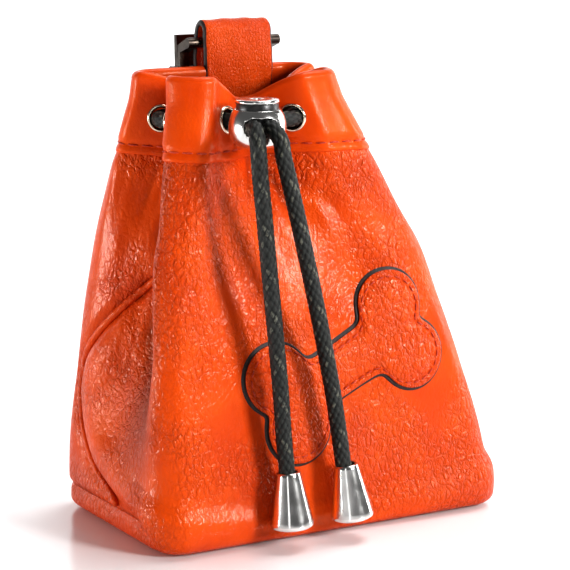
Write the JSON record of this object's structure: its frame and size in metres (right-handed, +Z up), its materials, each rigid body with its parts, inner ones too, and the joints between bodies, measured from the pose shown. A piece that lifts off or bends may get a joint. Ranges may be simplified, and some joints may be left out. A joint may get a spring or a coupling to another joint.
{
  "type": "treat pouch",
  "caption": "Drawstring leather treat pouch with a gathered neck, cord lock, bell cord ends and a swinging belt clip on a leather loop.",
  "frame": {"origin": "centre of the base's underside", "axes": "+Z up out of the mouth, the front with the cord lock and the tails faces -Y, +X to the right seen from the front"},
  "size_m": [0.1076, 0.0751, 0.143],
  "materials": {
    "body_leather": "pebbled full grain, semi-gloss",
    "band_leather": "smooth, satin",
    "black_leather": "matt cut edge",
    "eyelet_metal": "polished",
    "polished_metal": "polished",
    "cord": "braided",
    "clip_steel": "dark bronze, satin",
    "spring_steel": "bright"
  },
  "bodies": {
    "pouch": {"front_panel": "body_leather", "back_panel": "body_leather", "left_gusset": "body_leather", "right_gusset": "body_leather", "base_panel": "body_leather", "neck_band": "band_leather", "left_welt": "body_leather", "right_welt": "body_leather", "bone_applique": "body_leather", "applique_underlay": "black_leather", "hanger_strap": "body_leather", "eyelet_1": "eyelet_metal", "eyelet_2": "eyelet_metal", "eyelet_3": "eyelet_metal", "eyelet_4": "eyelet_metal", "eyelet_5": "eyelet_metal", "eyelet_6": "eyelet_metal", "eyelet_washer_1": "eyelet_metal", "eyelet_washer_2": "eyelet_metal", "eyelet_washer_3": "eyelet_metal", "eyelet_washer_4": "eyelet_metal", "eyelet_washer_5": "eyelet_metal", "eyelet_washer_6": "eyelet_metal", "neck_cord": "cord"},
    "lock": {"lock_body": "polished_metal", "lock_spring": "spring_steel", "left_cord_bend": "cord", "right_cord_bend": "cord"},
    "button": {"lock_button": "polished_metal"},
    "left_tail": {"left_tail_cord": "cord", "left_knot": "cord", "left_bell": "polished_metal"},
    "right_tail": {"right_tail_cord": "cord", "right_knot": "cord", "right_bell": "polished_metal"},
    "clip": {"clip_plate": "clip_steel", "clip_pin": "clip_steel", "clip_spring": "spring_steel"},
    "lever": {"clip_lever": "clip_steel"}
  },
  "joints": [
    {"name": "lock_slide", "type": "slide", "parent": "pouch", "child": "lock", "axis": [-0.342, -0.9397, 0], "range_m": [0, 0.008]},
    {"name": "button_press", "type": "slide", "parent": "lock", "child": "button", "axis": [0, 0, -1], "range_m": [0, 0.0012], "stiffness_N_per_m": 400, "springref_m": -0.003, "deforming": ["lock_spring"]},
    {"name": "left_tail_swing", "type": "hinge", "parent": "lock", "child": "left_tail", "pos_m": [-0.0284, -0.0347, 0.11], "axis": [-0.9397, 0.342, 0], "range_deg": [0, 60]},
    {"name": "right_tail_swing", "type": "hinge", "parent": "lock", "child": "right_tail", "pos_m": [-0.0216, -0.0361, 0.11], "axis": [-0.9397, 0.342, 0], "range_deg": [0, 60]},
    {"name": "clip_swing", "type": "hinge", "parent": "pouch", "child": "clip", "pos_m": [-0.008, 0.017, 0.1365], "axis": [1, 0, 0], "range_deg": [0, 100]},
    {"name": "lever_open", "type": "hinge", "parent": "clip", "child": "lever", "pos_m": [-0.008, 0.0271, 0.127], "axis": [1, 0, 0], "range_deg": [0, 20], "stiffness_Nm_per_rad": 0.2, "springref_deg": -17.19}
  ]
}
